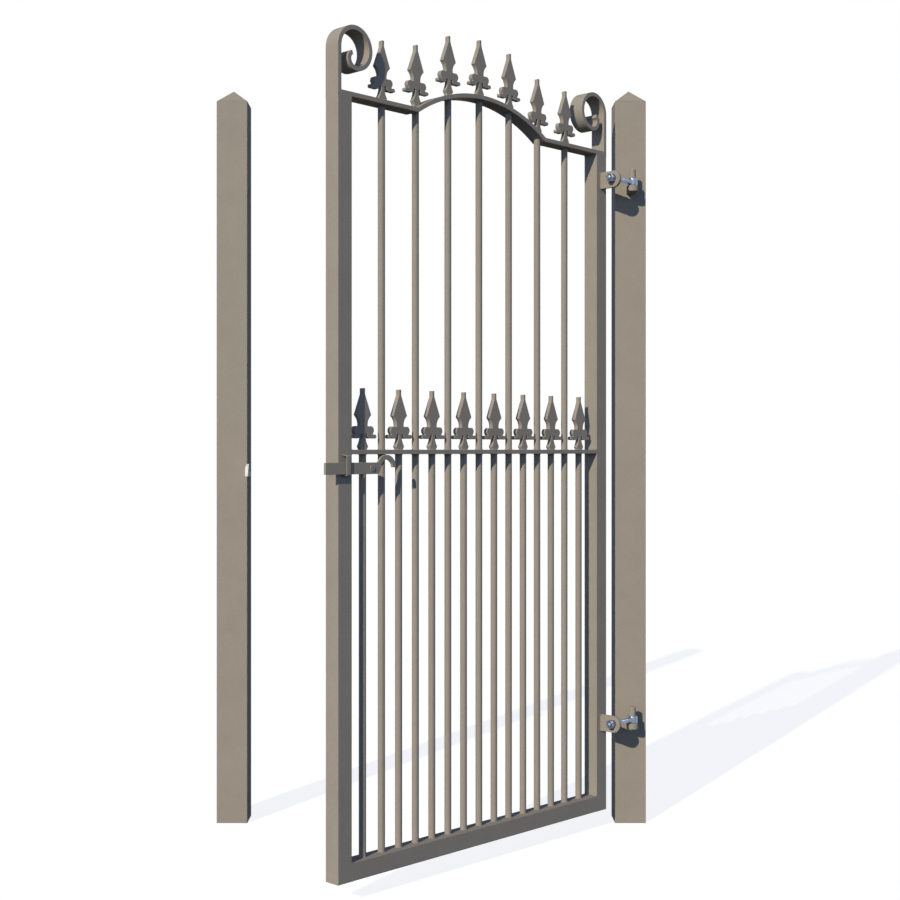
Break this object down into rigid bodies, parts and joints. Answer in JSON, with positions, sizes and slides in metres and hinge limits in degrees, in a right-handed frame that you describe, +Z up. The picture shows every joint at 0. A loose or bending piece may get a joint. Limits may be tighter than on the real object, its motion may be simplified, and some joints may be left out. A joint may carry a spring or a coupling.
{
  "type": "metal side gate with posts",
  "caption": "Arched metal side gate with round bars, spear finials and scrolls, hung between square capped posts on pin hinges, with a lift latch and catch.",
  "frame": {"origin": "centre of the hinge post's foot, at ground level", "axes": "+Z up, +X along the row of posts from the latch post to the hinge post, -Y towards the side that the leaf opens to"},
  "size_m": [1.115, 0.8312, 1.9289],
  "materials": {
    "paint": "satin taupe powder coat on mild steel",
    "zinc": "bright zinc plate"
  },
  "bodies": {
    "posts": {"hinge_post": "paint", "hinge_post_cap": "paint", "latch_post": "paint", "latch_post_cap": "paint", "lower_hinge_hook": "paint", "upper_hinge_hook": "paint", "latch_catch": "zinc"},
    "leaf": {"latch_stile": "paint", "hinge_stile": "paint", "bottom_rail": "paint", "mid_rail": "paint", "top_rail": "paint", "latch_scroll": "paint", "hinge_scroll": "paint", "long_bars": "paint", "short_bars": "paint", "top_finials": "paint", "mid_finials": "paint", "lower_hinge_lug": "paint", "upper_hinge_lug": "paint", "lower_eye_bolt": "zinc", "upper_eye_bolt": "zinc", "lower_hinge_nuts": "zinc", "upper_hinge_nuts": "zinc", "latch_staple": "paint", "latch_pivot": "paint"},
    "latch": {"latch_bar": "paint"}
  },
  "joints": [
    {"name": "gate_swing", "type": "hinge", "parent": "posts", "child": "leaf", "pos_m": [0, -0.08, 0.965], "axis": [0, 0, 1], "range_deg": [-45.7, 134.3]},
    {"name": "latch_lift", "type": "hinge", "parent": "leaf", "child": "latch", "pos_m": [-0.64379, -0.6939, 0.93], "axis": [-0.7157, 0.6984, 0], "range_deg": [0, 9.5]}
  ]
}
